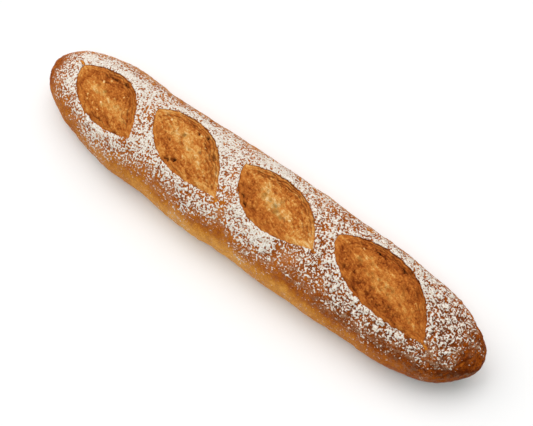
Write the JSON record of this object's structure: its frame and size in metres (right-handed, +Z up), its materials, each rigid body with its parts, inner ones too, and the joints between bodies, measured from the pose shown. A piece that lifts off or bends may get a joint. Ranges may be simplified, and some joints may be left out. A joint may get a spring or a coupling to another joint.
{
  "type": "baguette",
  "caption": "Short crusty baguette, lying on its flat underside, floured on top and opened along the crown by leaf-shaped slanting scores.",
  "frame": {"origin": "bottom centre of the loaf, on the surface it rests on", "axes": "+X along the loaf towards its near end in the picture, -Y towards its front side, +Z up"},
  "size_m": [0.32, 0.0662, 0.0473],
  "materials": {
    "crust": "matt baked wheat crust, dusted with flour on top"
  },
  "bodies": {
    "root": {"loaf": "crust"}
  },
  "joints": []
}
